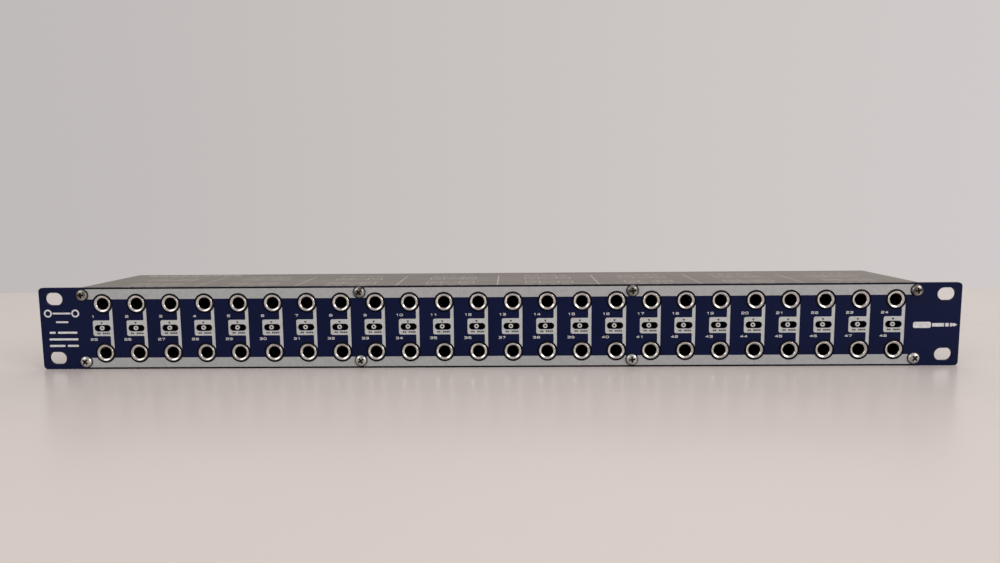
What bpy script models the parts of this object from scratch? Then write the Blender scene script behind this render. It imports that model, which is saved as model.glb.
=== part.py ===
"""Audio patch bay, one rack unit high: 48 jacks on the front, 48 on the rear, 24 three-way switches.

Metres, +Z up, the front panel faces -Y and the underside is at Z = 0.
Every length below is in millimetres, in a working frame whose origin is the middle of the
front panel's outer face, with Y running back into the case. The empty "patch_bay" carries
that frame to its place in the world.
"""
import math

import bmesh
import bpy
from mathutils import Euler

MM = 0.001
GAP = 0.3                       # clearance between neighbouring pieces

# Front panel, to the 19 inch rack standard
PANEL_W = 482.6
PANEL_H = 43.66                 # one 44.45 mm rack unit, less clearance
PANEL_T = 2.0
PANEL_CORNER_R = 2.0
EAR_BACK_X = 223.8              # where each ear's full thickness starts
PANEL_RECESS = 0.3              # the back is this much shallower between the ears
RACK_SLOT_X = 233.6             # each slot takes in the rack hole at 232.55 mm
RACK_SLOT_Z = 15.875            # half of the 31.75 mm rack hole spacing
RACK_SLOT_W = 9.6
RACK_SLOT_H = 6.7

# Case
CASE_W = 446.5                  # over the cover's side flanges
CASE_DEPTH = 68.0               # front panel face to rear panel face
CASE_TOP_Z = 21.3               # top of the cover
SHEET_T = 1.0
REAR_T = 1.2
SHEET_Y = PANEL_T - PANEL_RECESS + GAP      # where the folded sheet starts behind the panel
TRAY_REAR_Y = CASE_DEPTH - REAR_T - GAP
TRAY_HALF_W = CASE_W / 2 - SHEET_T - GAP
TRAY_TOP_Z = CASE_TOP_Z - SHEET_T - GAP
COVER_FLANGE_BOTTOM_Z = 9.0
FLANGE_INNER_X = 213.4          # inner edge of the folded corner flanges
CORNER_SPLIT_Z = 12.0           # tray flange below, cover tab above
MID_TAB_X = 72.0                # halfway between two jack columns
MID_TAB_W = 6.6
LOWER_TAB_TOP_Z = -14.0
UPPER_TAB_BOTTOM_Z = 15.0

# Jack columns
COLUMNS = 24
PITCH = 18.05
UPPER_Z = 13.2
LOWER_Z = -13.1
SIDES = 8                       # sides of each round feature
JACK_NOSE_R = 4.35              # outside of the plated ferrule
JACK_BORE_R = 3.175 / math.cos(math.pi / SIDES)
JACK_PROUD = 0.4                # how far a jack nose stands out of its panel
COLLAR_R = 5.0                  # black collar of the housing, round the ferrule
COLLAR_Y = 0.2                  # its face, just below the panel's face
JACK_W = 15.4
JACK_H = 12.8
JACK_FACE_Y = 4.0               # outer face of the housing, behind the panel
JACK_INNER_Y = 31.0             # inner end of the housing
JACK_WEB = 6.0                  # depth of the moulded web that joins the housings
HOLE_R = COLLAR_R + GAP

# Boards
BOARD_T = 1.6
BOARD_HALF_W = 215.2
BOARD_FRONT_Y = 4.6
BOARD_REAR_Y = CASE_DEPTH - BOARD_FRONT_Y
UPPER_BOARD_Z = UPPER_Z - JACK_H / 2 - GAP - BOARD_T
LOWER_BOARD_Z = LOWER_Z + JACK_H / 2 + GAP

# Switches
SLOT_DX = -0.7                  # slot centre, from its column's centre
SLOT_Z = 0.2
SLOT_W = 8.2
SLOT_H = 3.2
SWITCH_DX = SLOT_DX - 0.4       # lever's middle position, from its column's centre
SWITCH_TRAVEL = 2.0             # each way from the middle
SWITCH_W = 12.4
SWITCH_H = 7.4
SWITCH_FRONT_Y = 3.7
SWITCH_REAR_Y = 11.2
SWITCH_WEB = 2.0
POCKET_DEPTH = 4.0
POCKET_H = 4.2
KNOB_R = 1.2
KNOB_TIP_Y = -0.2
KNOB_DIMPLE = 0.5
SLIDER_R = 1.75
SLIDER_FRONT_Y = 4.2
SLIDER_REAR_Y = 7.2
POCKET_W = 2 * (SWITCH_TRAVEL + SLIDER_R + GAP)

# Screws, one pattern throughout
HEAD_R = 3.05
HEAD_H = 1.5
HEAD_FLAT_R = 1.9
SHANK_R = 1.35
SHANK_L = 3.9
SCREW_HOLE_R = SHANK_R + 0.4
FRONT_SCREWS = {
    "front_screw_top_left": (-218.1, 17.9),
    "front_screw_top_mid_left": (-71.4, 18.6),
    "front_screw_top_mid_right": (71.4, 18.6),
    "front_screw_top_right": (218.1, 17.9),
    "front_screw_bottom_left": (-218.1, -17.7),
    "front_screw_bottom_mid_left": (-71.4, -17.7),
    "front_screw_bottom_mid_right": (71.4, -17.7),
    "front_screw_bottom_right": (218.1, -17.7),
}
REAR_SCREW_X = 216.6
REAR_SCREW_Z = 14.5
COVER_SCREW_Y = (15.0, 53.0)
COVER_SCREW_Z = 14.0

# Board links and spacers
LINK_Y = 36.0
LINK_T = 2.5
LINK_HALF_GAP = 6.0
LINK_END_X = 196.0
SPACER_X = 209.0
SPACER_R = 2.75

FLOOR_Z = -PANEL_H / 2
COLUMN_X = [(i - (COLUMNS - 1) / 2) * PITCH for i in range(COLUMNS)]


def clear_scene():
    for obj in list(bpy.data.objects):
        bpy.data.objects.remove(obj, do_unlink=True)


def new_collection(name):
    collection = bpy.data.collections.new(name)
    bpy.context.scene.collection.children.link(collection)
    return collection


clear_scene()
PARTS = new_collection("patch_bay_parts")
CUTTERS = new_collection("patch_bay_cutters")
BAY = bpy.data.objects.new("patch_bay", None)
BAY.location = (0, -CASE_DEPTH / 2 * MM, PANEL_H / 2 * MM)
PARTS.objects.link(BAY)


def material(name, colour, roughness, metallic=0.0):
    mat = bpy.data.materials.new(name)
    mat.use_nodes = True
    shader = mat.node_tree.nodes["Principled BSDF"]
    shader.inputs["Base Color"].default_value = (*colour, 1)
    shader.inputs["Roughness"].default_value = roughness
    shader.inputs["Metallic"].default_value = metallic
    mat.diffuse_color = (*colour, 1)
    return mat


PANEL_PAINT = material("panel_paint", (0.016, 0.018, 0.075), 0.45)
CASE_STEEL = material("case_steel", (0.30, 0.29, 0.27), 0.42, 0.8)
JACK_PLASTIC = material("jack_plastic", (0.012, 0.012, 0.013), 0.4)
BOARD_LAMINATE = material("board_laminate", (0.03, 0.12, 0.05), 0.5)
SWITCH_PLASTIC = material("switch_plastic", (0.02, 0.02, 0.022), 0.5)
LEVER_PLASTIC = material("lever_plastic", (0.78, 0.76, 0.72), 0.35)
SCREW_STEEL = material("screw_steel", (0.55, 0.53, 0.50), 0.28, 1.0)
SPACER_METAL = material("spacer_metal", (0.65, 0.62, 0.5), 0.3, 1.0)


def place(obj, location=(0, 0, 0), rotation=(0, 0, 0)):
    """Put an object at a place given in millimetres in the working frame."""
    obj.parent = BAY
    obj.location = [v * MM for v in location]
    obj.rotation_euler = Euler(rotation)
    return obj


def as_part(obj, mat):
    """Make an object one of the parts, with its own material slot."""
    PARTS.objects.link(obj)
    if not obj.data.materials:
        obj.data.materials.append(mat)
    return obj


def as_cutter(obj):
    CUTTERS.objects.link(obj)
    obj.hide_render = True
    obj.display_type = "WIRE"
    return obj


def mesh_object(name, bm):
    mesh = bpy.data.meshes.new(name)
    bm.to_mesh(mesh)
    bm.free()
    return bpy.data.objects.new(name, mesh)


def add_box(bm, low, high):
    """Add an upright box between two corners, in millimetres."""
    verts = bmesh.ops.create_cube(bm, size=1.0)["verts"]
    size = [(b - a) * MM for a, b in zip(low, high)]
    centre = [(a + b) / 2 * MM for a, b in zip(low, high)]
    bmesh.ops.scale(bm, vec=size, verts=verts)
    bmesh.ops.translate(bm, vec=centre, verts=verts)


def add_prism(bm, outline, low, high):
    """Add an upright plate of one outline, drawn in X and Z, between two depths."""
    front, back = [[bm.verts.new((u * MM, y * MM, v * MM)) for u, v in outline] for y in (low, high)]
    faces = [bm.faces.new(front), bm.faces.new(back)]
    for k in range(len(outline)):
        faces.append(bm.faces.new((front[k - 1], front[k], back[k], back[k - 1])))
    bmesh.ops.recalc_face_normals(bm, faces=faces)


def add_rod(bm, centre, radius, low, high, axis="Y"):
    """Add a rod along one axis, its flats level, through centre's other two coordinates."""
    length = (high - low) * MM
    made = bmesh.ops.create_cone(bm, cap_ends=True, segments=SIDES, radius1=radius * MM,
                                 radius2=radius * MM, depth=length)
    half_step = Euler((0, 0, math.pi / SIDES)).to_matrix()
    turn = Euler((math.pi / 2, 0, 0) if axis == "Y" else (0, math.pi / 2, 0)).to_matrix()
    bmesh.ops.rotate(bm, cent=(0, 0, 0), matrix=turn @ half_step, verts=made["verts"])
    middle = (low + high) / 2
    where = (centre[0], middle, centre[1]) if axis == "Y" else (middle, centre[0], centre[1])
    bmesh.ops.translate(bm, vec=[v * MM for v in where], verts=made["verts"])


def boolean(obj, tool, operation):
    mod = obj.modifiers.new(operation.lower(), "BOOLEAN")
    mod.operation = operation
    mod.object = tool
    mod.solver = "EXACT"
    return obj


def rounded_outline(width, height, radius, steps):
    """Corner points of a rectangle with round corners, anticlockwise about its centre."""
    points = []
    for corner in range(4):
        sx = 1 if corner in (0, 3) else -1
        sz = 1 if corner in (0, 1) else -1
        for step in range(steps + 1):
            angle = (corner + step / steps) * math.pi / 2
            points.append((sx * (width / 2 - radius) + radius * math.cos(angle),
                           sz * (height / 2 - radius) + radius * math.sin(angle)))
    return points


def slot_outline(x, z, width, height, steps=4):
    """A slot with half-round ends."""
    radius = height / 2
    points = []
    for side in (1, -1):
        for step in range(steps + 1):
            angle = math.pi * (step / steps - 0.5)
            points.append((x + side * (width / 2 - radius + radius * math.cos(angle)),
                           z + side * radius * math.sin(angle)))
    return points


def ring_outline(x, z, radius):
    """A round hole, drawn with its flats level."""
    angles = [(k + 0.5) * math.tau / SIDES for k in range(SIDES)]
    return [(x + radius * math.cos(a), z + radius * math.sin(a)) for a in angles]


def flat_curve(name, outlines, thickness):
    """A flat plate: the first outline is its edge and the others are holes."""
    curve = bpy.data.curves.new(name, "CURVE")
    curve.dimensions = "2D"
    curve.fill_mode = "BOTH"
    curve.extrude = thickness / 2 * MM
    for outline in outlines:
        spline = curve.splines.new("POLY")
        spline.points.add(len(outline) - 1)
        for point, (u, v) in zip(spline.points, outline):
            point.co = (u * MM, v * MM, 0, 1)
        spline.use_cyclic_u = True
    return bpy.data.objects.new(name, curve)


def curve_as_mesh(curve_object):
    """Turn a placed curve into a welded mesh object that a Boolean can use."""
    bpy.context.scene.collection.objects.link(curve_object)
    bpy.context.view_layer.update()
    evaluated = curve_object.evaluated_get(bpy.context.evaluated_depsgraph_get())
    mesh = bpy.data.meshes.new_from_object(evaluated)
    bm = bmesh.new()
    bm.from_mesh(mesh)
    bmesh.ops.remove_doubles(bm, verts=bm.verts, dist=0.00001)
    bm.to_mesh(mesh)
    bm.free()
    name = curve_object.name
    curve_object.name = name + "_outline"
    obj = bpy.data.objects.new(name, mesh)
    obj.parent = BAY
    obj.matrix_world = curve_object.matrix_world
    bpy.data.objects.remove(curve_object, do_unlink=True)
    return obj


def upright_plate(name, outlines, front_y, thickness, mat):
    """A plate across the case, its outlines drawn in X and Z."""
    plate = as_part(flat_curve(name, outlines, thickness), mat)
    return place(plate, (0, front_y + thickness / 2, 0), (math.pi / 2, 0, 0))


def make_front_panel():
    """Rack panel, its back a little shallower between the two ears."""
    outlines = []
    for sx in (-1, 1):
        for sz in (-1, 1):
            outlines.append(slot_outline(sx * RACK_SLOT_X, sz * RACK_SLOT_Z, RACK_SLOT_W, RACK_SLOT_H))
    for x in COLUMN_X:
        outlines.append(ring_outline(x, UPPER_Z, HOLE_R))
        outlines.append(ring_outline(x, LOWER_Z, HOLE_R))
        outlines.append(slot_outline(x + SLOT_DX, SLOT_Z, SLOT_W, SLOT_H))
    for x, z in FRONT_SCREWS.values():
        outlines.append(ring_outline(x, z, SCREW_HOLE_R))
    plate = bmesh.new()
    add_prism(plate, rounded_outline(PANEL_W, PANEL_H, PANEL_CORNER_R, 2), 0, PANEL_T)
    panel = place(as_part(mesh_object("front_panel", plate), PANEL_PAINT))
    holes = bmesh.new()
    for outline in outlines:
        add_prism(holes, outline, -1, PANEL_T + 1)
    recess = bmesh.new()
    add_box(recess, (-EAR_BACK_X, PANEL_T - PANEL_RECESS, -PANEL_H), (EAR_BACK_X, PANEL_T + 1, PANEL_H))
    boolean(panel, place(as_cutter(mesh_object("panel_holes", holes))), "DIFFERENCE")
    boolean(panel, place(as_cutter(mesh_object("panel_recess", recess))), "DIFFERENCE")


def make_rear_panel():
    height = TRAY_TOP_Z - FLOOR_Z
    middle_z = (TRAY_TOP_Z + FLOOR_Z) / 2
    half_w = CASE_W / 2
    outlines = [[(-half_w, middle_z - height / 2), (half_w, middle_z - height / 2),
                 (half_w, middle_z + height / 2), (-half_w, middle_z + height / 2)]]
    for x in COLUMN_X:
        outlines.append(ring_outline(x, UPPER_Z, HOLE_R))
        outlines.append(ring_outline(x, LOWER_Z, HOLE_R))
    for sx in (-1, 1):
        for sz in (-1, 1):
            outlines.append(ring_outline(sx * REAR_SCREW_X, sz * REAR_SCREW_Z, SCREW_HOLE_R))
    upright_plate("rear_panel", outlines, CASE_DEPTH - REAR_T, REAR_T, CASE_STEEL)


def channel(name, outline, front_y, rear_y, mat):
    """A folded sheet of one section, drawn in X and Z and run along the case's depth."""
    length = rear_y - front_y
    curve = place(flat_curve(name, [outline], length), (0, front_y + length / 2, 0), (math.pi / 2, 0, 0))
    return as_part(curve_as_mesh(curve), mat)


def make_chassis_tray():
    """Floor and side walls from one sheet, with folded flanges for the screws."""
    out = TRAY_HALF_W
    inner = out - SHEET_T
    section = [(-out, FLOOR_Z), (out, FLOOR_Z), (out, TRAY_TOP_Z), (inner, TRAY_TOP_Z),
               (inner, FLOOR_Z + SHEET_T), (-inner, FLOOR_Z + SHEET_T), (-inner, TRAY_TOP_Z),
               (-out, TRAY_TOP_Z)]
    tray = channel("chassis_tray", section, SHEET_Y, TRAY_REAR_Y, CASE_STEEL)
    bury = SHEET_T / 2
    flanges = bmesh.new()
    holes = bmesh.new()
    for side in (-1, 1):
        x_pair = sorted((side * FLANGE_INNER_X, side * (out - bury)))
        low_z = FLOOR_Z + bury
        add_box(flanges, (x_pair[0], SHEET_Y, low_z), (x_pair[1], SHEET_Y + SHEET_T, CORNER_SPLIT_Z))
        add_box(flanges, (x_pair[0], TRAY_REAR_Y - SHEET_T, low_z),
                (x_pair[1], TRAY_REAR_Y, TRAY_TOP_Z - bury))
        tab_x = side * MID_TAB_X
        add_box(flanges, (tab_x - MID_TAB_W / 2, SHEET_Y, low_z),
                (tab_x + MID_TAB_W / 2, SHEET_Y + SHEET_T, LOWER_TAB_TOP_Z))
        for z in (-REAR_SCREW_Z, REAR_SCREW_Z):
            add_rod(holes, (side * REAR_SCREW_X, z), SCREW_HOLE_R, TRAY_REAR_Y - 3, TRAY_REAR_Y + 1)
        for y in COVER_SCREW_Y:
            x_low, x_high = sorted((side * (inner - 1), side * (out + 1)))
            add_rod(holes, (y, COVER_SCREW_Z), SCREW_HOLE_R, x_low, x_high, axis="X")
    for x, z in FRONT_SCREWS.values():
        if z < 0:
            add_rod(holes, (x, z), SCREW_HOLE_R, PANEL_T, JACK_FACE_Y)
    boolean(tray, place(as_cutter(mesh_object("tray_flanges", flanges))), "UNION")
    boolean(tray, place(as_cutter(mesh_object("tray_holes", holes))), "DIFFERENCE")


def make_top_cover():
    """Lid with its side flanges, and tabs that take the upper front screws."""
    out = CASE_W / 2
    inner = out - SHEET_T
    plate_z = CASE_TOP_Z - SHEET_T
    section = [(-out, COVER_FLANGE_BOTTOM_Z), (-inner, COVER_FLANGE_BOTTOM_Z), (-inner, plate_z),
               (inner, plate_z), (inner, COVER_FLANGE_BOTTOM_Z), (out, COVER_FLANGE_BOTTOM_Z),
               (out, CASE_TOP_Z), (-out, CASE_TOP_Z)]
    cover = channel("top_cover", section, SHEET_Y, TRAY_REAR_Y, CASE_STEEL)
    high_z = plate_z + SHEET_T / 2
    additions = bmesh.new()
    holes = bmesh.new()
    corner_mid_x = (FLANGE_INNER_X + TRAY_HALF_W - SHEET_T - GAP) / 2
    corner_w = TRAY_HALF_W - SHEET_T - GAP - FLANGE_INNER_X
    for side in (-1, 1):
        for tab_x, tab_w, bottom_z in ((MID_TAB_X, MID_TAB_W, UPPER_TAB_BOTTOM_Z),
                                       (corner_mid_x, corner_w, CORNER_SPLIT_Z + GAP)):
            add_box(additions, (side * tab_x - tab_w / 2, SHEET_Y, bottom_z),
                    (side * tab_x + tab_w / 2, SHEET_Y + SHEET_T, high_z))
        for y in COVER_SCREW_Y:
            x_low, x_high = sorted((side * (inner - 1), side * (out + 1)))
            add_rod(holes, (y, COVER_SCREW_Z), SCREW_HOLE_R, x_low, x_high, axis="X")
    add_box(additions, (-inner, TRAY_REAR_Y - 1, plate_z), (inner, CASE_DEPTH, CASE_TOP_Z))
    for x, z in FRONT_SCREWS.values():
        if z > 0:
            add_rod(holes, (x, z), SCREW_HOLE_R, PANEL_T, JACK_FACE_Y)
    boolean(cover, place(as_cutter(mesh_object("cover_tabs", additions))), "UNION")
    boolean(cover, place(as_cutter(mesh_object("cover_holes", holes))), "DIFFERENCE")


def make_block(name, low, high, mat):
    bm = bmesh.new()
    add_box(bm, low, high)
    return place(as_part(mesh_object(name, bm), mat))


def make_jack_bank(name, columns, z, front):
    """Twelve jack housings on one moulded web, each with its collar, nose and 6.35 mm bore."""
    def span(near, far):
        return sorted((near, far)) if front else sorted((CASE_DEPTH - near, CASE_DEPTH - far))
    y_low, y_high = span(JACK_FACE_Y, JACK_INNER_Y)
    bank = make_block(name, (columns[0] - JACK_W / 2, y_low, z - JACK_H / 2),
                      (columns[-1] + JACK_W / 2, y_high, z + JACK_H / 2), JACK_PLASTIC)
    collars = bmesh.new()
    noses = bmesh.new()
    cuts = bmesh.new()
    for x in columns:
        add_rod(collars, (x, z), COLLAR_R, *span(COLLAR_Y, JACK_FACE_Y + 1))
        add_rod(noses, (x, z), JACK_NOSE_R, *span(-JACK_PROUD, JACK_FACE_Y + 1))
        add_rod(cuts, (x, z), JACK_BORE_R, *span(-JACK_PROUD - 1, JACK_INNER_Y + 1))
    slit_low, slit_high = span(JACK_FACE_Y + JACK_WEB, JACK_INNER_Y + 1)
    for x in columns[1:]:
        add_box(cuts, (x - PITCH + JACK_W / 2, slit_low, z - JACK_H), (x - JACK_W / 2, slit_high, z + JACK_H))
    boolean(bank, place(as_cutter(mesh_object(name + "_collars", collars))), "UNION")
    boolean(bank, place(as_cutter(mesh_object(name + "_noses", noses))), "UNION")
    boolean(bank, place(as_cutter(mesh_object(name + "_cuts", cuts))), "DIFFERENCE")


def make_board(name, bottom_z):
    make_block(name, (-BOARD_HALF_W, BOARD_FRONT_Y, bottom_z),
               (BOARD_HALF_W, BOARD_REAR_Y, bottom_z + BOARD_T), BOARD_LAMINATE)


def make_switch_bank(name, columns):
    """Twelve switch bodies joined behind, each with a pocket open to the front for its slider."""
    first, last = columns[0] + SWITCH_DX, columns[-1] + SWITCH_DX
    low_z, high_z = SLOT_Z - SWITCH_H / 2, SLOT_Z + SWITCH_H / 2
    bank = make_block(name, (first - SWITCH_W / 2, SWITCH_FRONT_Y, low_z),
                      (last + SWITCH_W / 2, SWITCH_REAR_Y, high_z), SWITCH_PLASTIC)
    cuts = bmesh.new()
    for x in columns:
        centre = x + SWITCH_DX
        add_box(cuts, (centre - POCKET_W / 2, SWITCH_FRONT_Y - 1, SLOT_Z - POCKET_H / 2),
                (centre + POCKET_W / 2, SWITCH_FRONT_Y + POCKET_DEPTH, SLOT_Z + POCKET_H / 2))
        if x > columns[0]:
            add_box(cuts, (centre - PITCH + SWITCH_W / 2, SWITCH_FRONT_Y - 1, low_z - 1),
                    (centre - SWITCH_W / 2, SWITCH_REAR_Y - SWITCH_WEB, high_z + 1))
    boolean(bank, place(as_cutter(mesh_object(name + "_cuts", cuts))), "DIFFERENCE")


def profile_mesh(name, profile):
    """Edges of a turned shape's outline, as (radius, height) points from top to bottom."""
    mesh = bpy.data.meshes.new(name)
    verts = [(radius * MM, 0, height * MM) for radius, height in profile]
    mesh.from_pydata(verts, [(k, k + 1) for k in range(len(verts) - 1)], [])
    return mesh


def turned(name, mesh, mat, location, rotation):
    """A piece turned about its own Z axis from a shared outline."""
    obj = as_part(bpy.data.objects.new(name, mesh), mat)
    screw = obj.modifiers.new("turn", "SCREW")
    screw.steps = SIDES
    screw.render_steps = SIDES
    screw.use_merge_vertices = True
    screw.merge_threshold = 0.00001
    screw.use_smooth_shade = True
    return place(obj, location, rotation)


def make_levers():
    """A round knob with a dimple in its tip, on a slider that runs in the switch body."""
    profile = [(0, KNOB_DIMPLE), (KNOB_R, 0), (KNOB_R, SLIDER_FRONT_Y - KNOB_TIP_Y),
               (SLIDER_R, SLIDER_FRONT_Y - KNOB_TIP_Y), (SLIDER_R, SLIDER_REAR_Y - KNOB_TIP_Y),
               (0, SLIDER_REAR_Y - KNOB_TIP_Y)]
    mesh = profile_mesh("switch_lever", [(radius, -height) for radius, height in profile])
    for number, x in enumerate(COLUMN_X, start=1):
        turned(f"switch_lever_{number:02d}", mesh, LEVER_PLASTIC, (x + SWITCH_DX, KNOB_TIP_Y, SLOT_Z),
               (math.pi / 2, 0, 0))


def make_screws():
    profile = [(0, HEAD_H), (HEAD_FLAT_R, HEAD_H), (HEAD_R, HEAD_H / 2), (HEAD_R, 0), (SHANK_R, 0),
               (SHANK_R, -SHANK_L), (0, -SHANK_L)]
    mesh = profile_mesh("pan_head_screw", profile)
    for name, (x, z) in FRONT_SCREWS.items():
        turned(name, mesh, SCREW_STEEL, (x, -GAP, z), (math.pi / 2, 0, 0))
    for side, side_name in ((-1, "left"), (1, "right")):
        for sign, level in ((-1, "bottom"), (1, "top")):
            turned(f"rear_screw_{level}_{side_name}", mesh, SCREW_STEEL,
                   (side * REAR_SCREW_X, CASE_DEPTH + GAP, sign * REAR_SCREW_Z), (-math.pi / 2, 0, 0))
        for y, end in zip(COVER_SCREW_Y, ("front", "rear")):
            turned(f"cover_screw_{side_name}_{end}", mesh, SCREW_STEEL,
                   (side * (CASE_W / 2 + GAP), y, COVER_SCREW_Z), (0, side * math.pi / 2, 0))


def make_board_links():
    """Header strips that carry each column's circuits from the upper board to the lower one."""
    low_z = LOWER_BOARD_Z + BOARD_T + GAP
    high_z = UPPER_BOARD_Z - GAP
    for side, side_name in ((-1, "left"), (1, "right")):
        x_low, x_high = sorted((side * LINK_HALF_GAP, side * LINK_END_X))
        make_block(f"board_link_{side_name}", (x_low, LINK_Y - LINK_T / 2, low_z),
                   (x_high, LINK_Y + LINK_T / 2, high_z), SWITCH_PLASTIC)
        spacer = [(0, high_z), (SPACER_R, high_z), (SPACER_R, low_z), (0, low_z)]
        turned(f"board_spacer_{side_name}", profile_mesh("board_spacer", spacer), SPACER_METAL,
               (side * SPACER_X, LINK_Y, 0), (0, 0, 0))


def build():
    half = COLUMNS // 2
    make_front_panel()
    make_chassis_tray()
    make_top_cover()
    make_rear_panel()
    for side_name, columns in (("left", COLUMN_X[:half]), ("right", COLUMN_X[half:])):
        for level, z in (("upper", UPPER_Z), ("lower", LOWER_Z)):
            make_jack_bank(f"front_jacks_{level}_{side_name}", columns, z, front=True)
            make_jack_bank(f"rear_jacks_{level}_{side_name}", columns, z, front=False)
        make_switch_bank(f"switch_bank_{side_name}", columns)
    make_board("upper_board", UPPER_BOARD_Z)
    make_board("lower_board", LOWER_BOARD_Z)
    make_board_links()
    make_levers()
    make_screws()


build()
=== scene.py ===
"""Looks of the audio patch bay: painted panel, printed marks, jacks, switches, screws and folded case.

Shapes are drawn in millimetres in a working frame whose origin is the middle of the front
panel's outer face, with Y running back into the case, as the CAD part's source does.
"""
import math
import random
import bmesh
import bpy
from mathutils import Euler, Matrix, Vector, geometry


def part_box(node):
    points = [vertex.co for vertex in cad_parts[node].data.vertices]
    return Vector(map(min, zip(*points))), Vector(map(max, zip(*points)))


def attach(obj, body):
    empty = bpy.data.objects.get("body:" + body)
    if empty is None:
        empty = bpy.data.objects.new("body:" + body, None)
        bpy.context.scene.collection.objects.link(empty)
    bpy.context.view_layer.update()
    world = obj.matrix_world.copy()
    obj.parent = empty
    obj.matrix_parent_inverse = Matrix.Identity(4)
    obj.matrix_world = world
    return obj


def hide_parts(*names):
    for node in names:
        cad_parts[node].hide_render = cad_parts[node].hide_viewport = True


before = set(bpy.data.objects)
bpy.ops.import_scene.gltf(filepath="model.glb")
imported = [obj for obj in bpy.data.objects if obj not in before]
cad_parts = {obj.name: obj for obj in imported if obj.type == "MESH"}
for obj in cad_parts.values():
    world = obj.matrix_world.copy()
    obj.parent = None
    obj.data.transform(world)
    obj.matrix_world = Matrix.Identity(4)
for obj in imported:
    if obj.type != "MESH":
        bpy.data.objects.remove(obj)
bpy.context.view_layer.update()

# ---------------------------------------------------------------- measures
MM = 0.001
panel_corner_low, panel_corner_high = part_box("front_panel")
ORIGIN = Vector((0, panel_corner_low.y, (panel_corner_low.z + panel_corner_high.z) / 2))
TO_WORLD = Matrix.Translation(ORIGIN) @ Matrix.Scale(MM, 4)


def local_box(node):
    """A CAD node's low and high corners, in the working frame's millimetres."""
    low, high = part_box(node)
    return (low - ORIGIN) / MM, (high - ORIGIN) / MM


PANEL_LOW, PANEL_HIGH = local_box("front_panel")
REAR_LOW, REAR_HIGH = local_box("rear_panel")
COVER_LOW, COVER_HIGH = local_box("top_cover")
TRAY_LOW, TRAY_HIGH = local_box("chassis_tray")
UPPER_LOW, UPPER_HIGH = local_box("front_jacks_upper_left")
LOWER_LOW, LOWER_HIGH = local_box("front_jacks_lower_left")

COLUMNS = 24
JACK_HALF_W = 7.7                          # of one jack body
FIRST_X = UPPER_LOW.x + JACK_HALF_W
PITCH = (UPPER_HIGH.x - JACK_HALF_W - FIRST_X) / (COLUMNS // 2 - 1)
COLUMN_X = [FIRST_X + i * PITCH for i in range(COLUMNS)]
UPPER_Z = (UPPER_LOW.z + UPPER_HIGH.z) / 2
LOWER_Z = (LOWER_LOW.z + LOWER_HIGH.z) / 2
JACK_HALF_H = (UPPER_HIGH.z - UPPER_LOW.z) / 2
CASE_DEPTH = REAR_HIGH.y
HOLE_R = 5.3                               # jack holes in both panels
SCREW_HOLE_R = 1.75
CORNER_R = 2.0                             # of the front panel
RACK_SLOT = (233.6, 15.875, 9.6, 6.7)      # x, z, width, height
SLOT_DX, SLOT_Z, SLOT_W, SLOT_H = -0.7, 0.2, 8.2, 3.2     # switch slot; DX is from its column
SHEET_T = 1.0
BEND_R = 1.5                               # outer radius of the sheet's folds
SHEET_GAP = 0.02                           # keeps a sheet's front edge off the panel's back
SMOOTH_ANGLE = math.radians(32)
SCREWS = [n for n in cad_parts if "_screw_" in n]


def screw_spots(start):
    """The x and z of each screw whose name starts so."""
    boxes = [local_box(name) for name in SCREWS if name.startswith(start)]
    return [((low.x + high.x) / 2, (low.z + high.z) / 2) for low, high in boxes]


# ---------------------------------------------------------------- materials
def material(name, colour, roughness, metallic=0.0, specular=0.5):
    mat = bpy.data.materials.new(name)
    mat.use_nodes = True
    shader = mat.node_tree.nodes["Principled BSDF"]
    shader.inputs["Base Color"].default_value = (*colour, 1)
    shader.inputs["Roughness"].default_value = roughness
    shader.inputs["Metallic"].default_value = metallic
    shader.inputs["Specular IOR Level"].default_value = specular
    mat.diffuse_color = (*colour, 1)
    return mat


def shader_of(mat):
    return mat.node_tree.nodes["Principled BSDF"]


def noise(mat, scale, detail=3.0, stretch=(1, 1, 1)):
    """Noise over the object's own coordinates, in lumps of about 1/scale metres."""
    tree = mat.node_tree
    coords = tree.nodes.new("ShaderNodeTexCoord")
    mapping = tree.nodes.new("ShaderNodeMapping")
    mapping.inputs["Scale"].default_value = stretch
    texture = tree.nodes.new("ShaderNodeTexNoise")
    texture.inputs["Scale"].default_value = scale
    texture.inputs["Detail"].default_value = detail
    tree.links.new(coords.outputs["Object"], mapping.inputs["Vector"])
    tree.links.new(mapping.outputs["Vector"], texture.inputs["Vector"])
    return texture.outputs[0]


def vary_colour(mat, value, low, high, start=0.35, end=0.65):
    ramp = mat.node_tree.nodes.new("ShaderNodeValToRGB")
    ramp.color_ramp.elements[0].color = (*low, 1)
    ramp.color_ramp.elements[0].position = start
    ramp.color_ramp.elements[1].color = (*high, 1)
    ramp.color_ramp.elements[1].position = end
    mat.node_tree.links.new(value, ramp.inputs["Fac"])
    mat.node_tree.links.new(ramp.outputs["Color"], shader_of(mat).inputs["Base Color"])
    return mat


def vary_roughness(mat, value, low, high):
    spread = mat.node_tree.nodes.new("ShaderNodeMapRange")
    spread.inputs["From Min"].default_value = 0.3
    spread.inputs["From Max"].default_value = 0.7
    spread.inputs["To Min"].default_value = low
    spread.inputs["To Max"].default_value = high
    mat.node_tree.links.new(value, spread.inputs["Value"])
    mat.node_tree.links.new(spread.outputs["Result"], shader_of(mat).inputs["Roughness"])
    return mat


def add_bump(mat, value, strength, depth_mm):
    bump = mat.node_tree.nodes.new("ShaderNodeBump")
    bump.inputs["Strength"].default_value = strength
    bump.inputs["Distance"].default_value = depth_mm * MM
    mat.node_tree.links.new(value, bump.inputs["Height"])
    mat.node_tree.links.new(bump.outputs["Normal"], shader_of(mat).inputs["Normal"])
    return mat


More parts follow.
